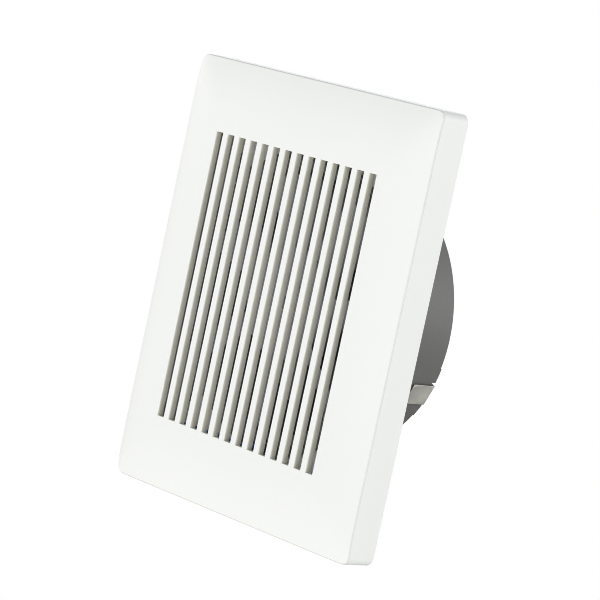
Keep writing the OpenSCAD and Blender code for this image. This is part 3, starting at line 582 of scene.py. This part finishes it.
def build_cover():
    """The crowned cover as one closed shell: face, slots, bars, inner side and rim."""
    low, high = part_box("front_cover")
    half_w, half_h, face_y, rear_y = high.x, high.z, low.y, high.y
    pad_w = (SLOT_COUNT - 1) * SLOT_PITCH / 2 + SLOT_WIDTH / 2 + PAD_MARGIN
    pad_h = SLOT_HEIGHT / 2 + PAD_MARGIN
    centres = [(i - (SLOT_COUNT - 1) / 2) * SLOT_PITCH for i in range(SLOT_COUNT)]
    slot_edges = [c + s * SLOT_WIDTH / 2 for c in centres for s in (-1, 1)]
    slot_rows = [-SLOT_HEIGHT / 2 + SLOT_HEIGHT * i / SLOT_ROWS for i in range(SLOT_ROWS + 1)]
    xs = cover_lines(half_w, pad_w, slot_edges)
    zs = cover_lines(half_h, pad_h, slot_rows)

    def face_at(x, z):
        falls = (fall(x, FLAT_W / 2, half_w) ** SOFT_CORNER
                 + fall(z, FLAT_H / 2, half_h) ** SOFT_CORNER)
        return face_y + falls ** (1 / SOFT_CORNER)

    bm = bmesh.new()
    made = {}

    def vert(i, j, layer):
        if (i, j, layer) not in made:
            x, z = cornered(xs[i], zs[j], half_w, half_h)
            top = face_at(x, z)
            y = {FACE: top, SKIN: top + FACE_SKIN, PAD: face_y + BAR_DEPTH, REAR: rear_y}[layer]
            made[i, j, layer] = bm.verts.new((x, y, z))
        return made[i, j, layer]

    def under(i, j):
        """Which layer closes the cell from behind, or None where it is open."""
        if not (0 <= i < len(xs) - 1 and 0 <= j < len(zs) - 1):
            return None
        x, z = (xs[i] + xs[i + 1]) / 2, (zs[j] + zs[j + 1]) / 2
        if abs(z) < SLOT_HEIGHT / 2 and min(abs(x - c) for c in centres) < SLOT_WIDTH / 2:
            return None
        if abs(x) < pad_w and abs(z) < pad_h:
            return PAD
        if abs(x) > half_w - RIM_WALL or abs(z) > half_h - RIM_WALL:
            return REAR
        return SKIN

    for i in range(len(xs) - 1):
        for j in range(len(zs) - 1):
            layer = under(i, j)
            if layer is not None:
                cell = ((i, j), (i + 1, j), (i + 1, j + 1), (i, j + 1))
                for level in (FACE, layer):
                    bm.faces.new([vert(a, b, level) for a, b in cell])
    for i in range(len(xs)):
        for j in range(len(zs)):
            # each side of the cell: the cells on either side of it, and its far end
            for before, after, (u, v) in (((i - 1, j), (i, j), (i, j + 1)),
                                          ((i, j - 1), (i, j), (i + 1, j))):
                if u >= len(xs) or v >= len(zs):
                    continue
                first, second = under(*before), under(*after)
                if first == second:
                    continue
                upper = FACE if first is None else first
                lower = FACE if second is None else second
                wall = bm.faces.new((vert(i, j, upper), vert(u, v, upper),
                                     vert(u, v, lower), vert(i, j, lower)))
                # the slot walls between the front and the pad take the second material, the one
                # with painted shade
                wall.material_index = 1 if {first, second} == {None, PAD} else 0

    layers = {v: key for key, v in made.items()}
    weights = bm.edges.layers.float.new("bevel_weight_edge")
    bmesh.ops.recalc_face_normals(bm, faces=bm.faces)
    for edge in bm.edges:
        (i0, j0, l0), (i1, j1, l1) = layers[edge.verts[0]], layers[edge.verts[1]]
        edge.smooth = edge.calc_face_angle() < SHARP
        if l0 != l1 or edge.smooth:
            continue
        outer = {i0, i1} <= {0, len(xs) - 1} or {j0, j1} <= {0, len(zs) - 1}
        kind = "crease" if outer and l0 == FACE else "rear" if l0 == REAR else "slot"
        edge[weights] = ROUNDING[kind] / ROUNDING["crease"]

    add_pegs(bm, face_y)
    cover = new_piece("cover_shell", bm, "cover_white", "cover", "front_cover")
    # second material: the slot walls' plastic with painted shade
    cover.data.materials.append(SHADED_SLOT_WALL)
    bevel = add_bevel(cover, ROUNDING["crease"], 4, "WEIGHT")
    bevel.use_clamp_overlap = False
    bevel.harden_normals = True


def add_pegs(bm, face_y):
    """Four split pegs behind the cover, each on a round boss."""
    peg_x, peg_z = 84 * MM, 70 * MM
    boss_r, boss_top, boss_end = 4 * MM, face_y + 4.4 * MM, -9.2 * MM
    boss_core, soft = 0.4 * MM, 0.5 * MM
    peg_r, peg_core, tip = 3 * MM, 0.5 * MM, -1.2 * MM
    sunk, taper, tip_cut = 0.5 * MM, 1.2 * MM, 0.9 * MM
    split = 0.4 * MM
    boss = [(boss_core, boss_top), (boss_r, boss_top),
            *arc(boss_r - soft, boss_end - soft, soft, 0, 90, 4), (boss_core, boss_end)]
    prong = [(peg_core, boss_end - sunk), (peg_r, boss_end - sunk), (peg_r, tip - taper),
             (peg_r - tip_cut, tip), (peg_core, tip)]
    for sx in (-1, 1):
        for sz in (-1, 1):
            lathe(bm, boss, (sx * peg_x, sz * peg_z), steps=48)
            for side in (-1, 1):
                lathe(bm, prong, (sx * peg_x + side * split, sz * peg_z), start=-90 * side,
                      turn=180, steps=24)


# ---------------------------------------------------------------- impeller

BLADES = 7
RIBS = 6
HUB_R = 30 * MM
HUB_WALL = 1.6 * MM
BLADE_SPANS, BLADE_CHORDS = 22, 20  # faces from root to tip, and from edge to edge
BLADE_ROOT = HUB_R - 0.8 * MM  # the root is sunk into the hub's wall
ROOT_PITCH, PITCH_LOSS = 43, 9  # degrees at the root, and what is lost on the way to the tip
SWEEP = 0.0875  # sideways shift per metre of radius
CAMBER = 2.2 * MM
ROOT_THICK, THICK_LOSS = 1.75, 0.45  # mm at the root, and what is lost on the way to the tip
EDGE_THICK = 0.12 * MM
FILLET_GAIN, FILLET_FROM, FILLET_FADE = 1.1, 0.8 * MM, 1.4 * MM  # the blade thickens at its root
TIP_ROUND, TIP_CUT = 5 * MM, 0.28  # the chord shortens by this share over the last few mm


def build_impeller():
    """Hub cup with a rounded nose, ribs and swept, cambered blades with rounded edges."""
    low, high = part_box("impeller")
    tip_r = max(high.x, high.z, -low.x, -low.z)
    nose_y, hub_end = low.y, high.y
    web_y, seat_y = nose_y + 2 * MM, nose_y + 0.8 * MM
    soft, lip, web_fillet, boss_fillet, cut = 2.4 * MM, 0.4 * MM, 1.2 * MM, 0.8 * MM, 0.3 * MM
    boss_r, boss_end = 6 * MM, nose_y + 14 * MM
    bore_r, hole_r = 2.55 * MM, 2.05 * MM
    seat_r, dome_r, dome_y = 13 * MM, HUB_R * 0.72, nose_y + 0.05 * MM
    inner_r = HUB_R - HUB_WALL
    profile = [(hole_r, seat_y), (seat_r - 0.8 * MM, seat_y),
               *reversed(arc(seat_r + lip, nose_y + lip, lip, 180, 270, 3)),
               (dome_r, dome_y),
               *arc(HUB_R - soft, nose_y + soft, soft, -90, 0, 8),
               (HUB_R, hub_end - cut), (HUB_R - cut, hub_end),
               (inner_r + cut, hub_end), (inner_r, hub_end - cut),
               *reversed(arc(inner_r - web_fillet, web_y + web_fillet, web_fillet, -90, 0, 4)),
               (boss_r + boss_fillet, web_y), (boss_r, web_y + boss_fillet),
               (boss_r, boss_end - cut), (boss_r - cut, boss_end),
               (bore_r, boss_end), (bore_r, web_y), (hole_r, web_y)]
    bm = bmesh.new()
    lathe(bm, profile, steps=128)
    lap, sunk, rib_y, rib_wide = 0.7 * MM, 0.2 * MM, 5.2 * MM, 1.1 * MM
    length = inner_r - boss_r + 2 * lap
    for k in range(RIBS):
        rib = bmesh.ops.create_cube(bm, size=1.0)["verts"]
        place = (Matrix.Rotation(math.radians(360 / RIBS * k), 4, "Y")
                 @ Matrix.Translation((boss_r - lap + length / 2, web_y - sunk + rib_y / 2, 0))
                 @ Matrix.Diagonal((length, rib_y, rib_wide, 1)))
        bmesh.ops.transform(bm, matrix=place, verts=rib)
    for k in range(BLADES):
        add_blade(bm, 2 * math.pi * k / BLADES, tip_r, high.y - 1.1 * MM)
    impeller = new_piece("impeller_moulding", bm, "impeller_grey", "rotor", "impeller")
    add_bevel(impeller, 0.2 * MM, 2, "ANGLE").angle_limit = math.radians(50)
    impeller.modifiers.new("normals", "WEIGHTED_NORMAL").weight = 60


def blade_section(u, v, tip_r, reach):
    """The blade at u along its span (0 to 1) and v along its chord (-1 to 1).

    Gives the radius, the middle's offset from the blade's own line, the normal and the thickness.
    """
    radius = BLADE_ROOT + (tip_r - BLADE_ROOT) * u
    pitch = math.radians(ROOT_PITCH - PITCH_LOSS * u)
    into_tip = max(0.0, (radius - (tip_r - TIP_ROUND)) / TIP_ROUND)
    chord = 1 - TIP_CUT * (1 - math.sqrt(max(0.0, 1 - into_tip ** 2)))
    y = v * chord * reach
    shift = -y / math.tan(pitch) + SWEEP * (radius - BLADE_ROOT)
    normal = Vector((0, math.cos(pitch), math.sin(pitch)))
    middle = Vector((0, y, shift)) + normal * (-CAMBER * (1 - v * v))
    thick = (ROOT_THICK - THICK_LOSS * u) * MM * (1 - abs(v) ** 5) ** 0.5
    thick *= 1 + FILLET_GAIN * math.exp(-(radius - BLADE_ROOT - FILLET_FROM) / FILLET_FADE)
    return radius, middle, normal, max(thick, EDGE_THICK)


def add_blade(bm, angle, tip_r, reach):
    """One blade, from y = -reach to y = reach."""

    def place(radius, offset):
        a = angle + offset.z / radius
        return bm.verts.new((radius * math.cos(a), offset.y, radius * math.sin(a)))

    front, back = [], []
    for i in range(BLADE_SPANS + 1):
        rows = [[], []]
        for k in range(BLADE_CHORDS + 1):
            v = math.sin(math.pi * (k / BLADE_CHORDS - 0.5))
            radius, middle, normal, thick = blade_section(i / BLADE_SPANS, v, tip_r, reach)
            rows[0].append(place(radius, middle + normal * thick / 2))
            rows[1].append(place(radius, middle - normal * thick / 2))
        front.append(rows[0])
        back.append(rows[1])
    for i in range(BLADE_SPANS):
        for k in range(BLADE_CHORDS):
            bm.faces.new((front[i][k], front[i][k + 1], front[i + 1][k + 1], front[i + 1][k]))
            bm.faces.new((back[i][k], back[i + 1][k], back[i + 1][k + 1], back[i][k + 1]))
        for k in (0, BLADE_CHORDS):
            bm.faces.new((front[i][k], front[i + 1][k], back[i + 1][k], back[i][k]))
    for i in (0, BLADE_SPANS):
        for k in range(BLADE_CHORDS):
            bm.faces.new((front[i][k], front[i][k + 1], back[i][k + 1], back[i][k]))


# ---------------------------------------------------------------- wires and the shutter spring

TUBE_SIDES = 8


def tube_paths(node):
    """Centre lines and radii of the round tubes in a CAD node, found ring by ring from an end."""
    bm = bmesh.new()
    bm.from_mesh(NODES[node].data)
    bmesh.ops.remove_doubles(bm, verts=bm.verts, dist=WELD)
    bmesh.ops.dissolve_limit(bm, angle_limit=math.radians(0.1), verts=bm.verts, edges=bm.edges)
    bm.verts.index_update()
    ends = sorted((f for f in bm.faces if len(f.verts) == TUBE_SIDES),
                  key=lambda f: tuple(f.calc_center_median()))
    seen, paths = set(), []
    for end in ends:
        if any(v.index in seen for v in end.verts):
            continue
        ring, path, radius = list(end.verts), [], 0.0
        while ring:
            centre = sum((v.co for v in ring), Vector()) / len(ring)
            if not path:
                radius = (ring[0].co - centre).length
            path.append(centre)
            seen.update(v.index for v in ring)
            beyond = {e.other_vert(v) for v in ring for e in v.link_edges}
            ring = sorted((v for v in beyond if v.index not in seen), key=lambda v: v.index)
        paths.append((path, radius))
    bm.free()
    return paths


def softened(path, reach, steps=4):
    """The path with each corner replaced by a short curve."""
    points = [path[0]]
    for before, corner, after in zip(path, path[1:], path[2:]):
        to_before, to_after = before - corner, after - corner
        start = corner + to_before.normalized() * min(reach, to_before.length * 0.48)
        end = corner + to_after.normalized() * min(reach, to_after.length * 0.48)
        for i in range(steps + 1):
            t = i / steps
            points.append(start.lerp(corner, t).lerp(corner.lerp(end, t), t))
    return points + [path[-1]]


def build_wire(name, path, radius, material, node):
    """A round wire along a path, which stands for a CAD node or one of its wires."""
    curve = bpy.data.curves.new(name, "CURVE")
    curve.dimensions = "3D"
    curve.bevel_depth = radius
    curve.bevel_resolution = 8
    curve.use_fill_caps = True
    spline = curve.splines.new("POLY")
    spline.points.add(len(path) - 1)
    for point, place in zip(spline.points, path):
        point.co = (*place, 1.0)
    curve.materials.append(material)
    wire = bpy.data.objects.new(name, curve)
    bpy.context.scene.collection.objects.link(wire)
    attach(wire, "root")
    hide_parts(node)


def build_wires():
    lead_bend, spring_bend = 0.9 * MM, 0.3 * MM
    for (path, radius), colour in zip(tube_paths("motor_leads"), ("blue", "brown", "black")):
        build_wire("motor_lead_" + colour, softened(path, lead_bend), radius,
                   LEADS[colour], "motor_leads")
    for path, radius in tube_paths("capacitor_lead"):
        build_wire("capacitor_wire", softened(path, lead_bend), radius,
                   LEADS["white"], "capacitor_lead")
    for path, radius in tube_paths("shutter_spring"):
        build_wire("shutter_spring_wire", softened(path, spring_bend, 2), radius,
                   MATERIALS["spring_steel"], "shutter_spring")


# ---------------------------------------------------------------- stage: camera, light, floor

# The camera's azimuth and elevation round the origin, and its roll about the view line
VIEW_AZIMUTH, VIEW_ELEVATION, VIEW_ROLL = (math.radians(a) for a in (47.20, 5.60, 12.07))
VIEW_DISTANCE = 1600.7 * MM
VIEW_SHIFT = (1.35 * MM, 1.60 * MM)
LENS, SENSOR = 184.2, 36.0

# The studio's light by direction. Each range is (from, to, light at from, light at to), and the
# light stays the same beyond its ends.
OVERHEAD = (0.05, 0.8, 1.0, 0.24)  # front half, by height
CAMERA_END = (0.7, 1.0, 1.08, 0.45)  # factor on the front half, by closeness to the camera
REAR_WALL = (0.12, 0.6, 2.15, 0.1)  # rear half, by height
REAR_GLOW = (0.75, 1.0, 0.0, 1.6)  # added to the rear half, by depth
BEHIND = (0.0, 0.5)  # depths over which the front half passes into the rear half
SIDE_WALL, SIDE_LIGHT = (0.92, 0.38, 0.05), (0.5, 0.9, 1.0, 2.1)  # factor, to the right
LAMP, LAMP_LIGHT = (0.62, 0.68, 0.39), (0.95, 0.985, 0.0, 3.5)  # added, high at the right rear
SKY_HEIGHTS, SKY_LOW, SKY_HIGH = (0.1, 0.7), (1.65, 1.65, 1.65, 1), (1.47, 1.50, 1.57, 1)
BLACK, WHITE = (0, 0, 0, 1), (1, 1, 1, 1)

# The floor's glow as the object sees it: in front of the wall plane, to the right beside it, and
# behind it. The camera sees it white. Distances are in metres.
FLOOR_SIZE, FLOOR_DROP = 30, 0.25
FLOOR_FRONT, FLOOR_SIDE, FLOOR_REAR = (1.02, 1.02, 1.01, 1), (2.9, 2.9, 2.87, 1), (0.1, 0.1, 0.1, 1)
FLOOR_SLANT = 0.3  # the bright side's front edge comes forward by this much per metre
SIDE_DEPTHS, SIDE_REACH, REAR_DEPTHS = (0.0, 0.15), (0.1, 0.4), (-0.05, 0.12)


def view_axes():
    """The camera's axes: to its right, up, and back from the fan."""
    back = Vector((math.sin(VIEW_AZIMUTH) * math.cos(VIEW_ELEVATION),
                   -math.cos(VIEW_AZIMUTH) * math.cos(VIEW_ELEVATION), math.sin(VIEW_ELEVATION)))
    right = Vector((0, 0, 1)).cross(back).normalized()
    up = back.cross(right)
    turned = math.cos(VIEW_ROLL) * right + math.sin(VIEW_ROLL) * up
    return turned, back.cross(turned), back


def build_camera():
    right, up, back = view_axes()
    camera = bpy.data.objects.new("camera", bpy.data.cameras.new("camera"))
    bpy.context.scene.collection.objects.link(camera)
    camera.data.lens = LENS
    camera.data.sensor_width = SENSOR
    camera.data.clip_start, camera.data.clip_end = 0.01, 50
    place = back * VIEW_DISTANCE + right * VIEW_SHIFT[0] + up * VIEW_SHIFT[1]
    axes = Matrix((right, up, back)).transposed().to_4x4()
    camera.matrix_world = Matrix.Translation(place) @ axes
    bpy.context.scene.camera = camera


def build_world():
    """A white studio: bright low down and to the right, softer overhead, dim round the camera."""
    world = bpy.data.worlds.new("studio")
    world.use_nodes = True
    bpy.context.scene.world = world
    graph = Graph(world.node_tree)
    background = world.node_tree.nodes["Background"]
    direction = graph.add("ShaderNodeTexCoord").outputs["Generated"]
    parts = graph.axes(direction)
    height, depth = parts["Z"], parts["Y"]
    towards = graph.dot(direction, view_axes()[2])
    front = graph.math("MULTIPLY", graph.ramp(height, *OVERHEAD),
                       graph.ramp(towards, *CAMERA_END))
    rear = graph.math("ADD", graph.ramp(height, *REAR_WALL), graph.ramp(depth, *REAR_GLOW))
    behind = graph.ramp(depth, *BEHIND)
    level = graph.math("ADD", graph.math("MULTIPLY", front, graph.math("SUBTRACT", 1.0, behind)),
                       graph.math("MULTIPLY", rear, behind))
    level = graph.math("MULTIPLY", level, graph.ramp(graph.dot(direction, SIDE_WALL), *SIDE_LIGHT))
    level = graph.math("ADD", level, graph.ramp(graph.dot(direction, LAMP), *LAMP_LIGHT))
    sky = graph.mix(graph.ramp(height, *SKY_HEIGHTS), SKY_LOW, SKY_HIGH)
    strength = graph.mix(graph.camera_ray(), graph.mix(level, BLACK, sky), WHITE)
    graph.put(strength, background.inputs["Color"])
    graph.put(1.0, background.inputs["Strength"])


def build_floor():
    """A plain floor well below the object: white to the camera, graded in the light it gives."""
    bm = bmesh.new()
    bmesh.ops.create_grid(bm, x_segments=1, y_segments=1, size=FLOOR_SIZE)
    bmesh.ops.translate(bm, verts=bm.verts, vec=(0, 0, CAD_BOX[0].z - FLOOR_DROP))
    mesh = bpy.data.meshes.new("floor")
    bm.to_mesh(mesh)
    bm.free()
    floor = bpy.data.objects.new("floor", mesh)
    bpy.context.scene.collection.objects.link(floor)
    material, graph, shader, coords = new_material("floor_paper")
    parts = graph.axes(coords)
    aside, depth = parts["X"], parts["Y"]
    ahead = graph.math("ADD", depth, graph.math("MULTIPLY", aside, FLOOR_SLANT))
    wedge = graph.math("MULTIPLY", graph.ramp(ahead, *SIDE_DEPTHS),
                       graph.ramp(aside, *SIDE_REACH))
    front = graph.mix(wedge, FLOOR_FRONT, FLOOR_SIDE)
    given = graph.mix(graph.ramp(depth, *REAR_DEPTHS), front, FLOOR_REAR)
    connect(graph, shader, colour=BLACK, rough=1.0, spec=0.0)
    graph.put(graph.mix(graph.camera_ray(), given, WHITE), shader.inputs["Emission Color"])
    graph.put(1.0, shader.inputs["Emission Strength"])
    mesh.materials.append(material)


finish_nodes()
build_cover()
build_impeller()
build_wires()
build_camera()
build_world()
build_floor()
scene = bpy.context.scene
scene.view_settings.view_transform = "Standard"
scene.view_settings.look = "None"
scene.cycles.filter_width = 0.9
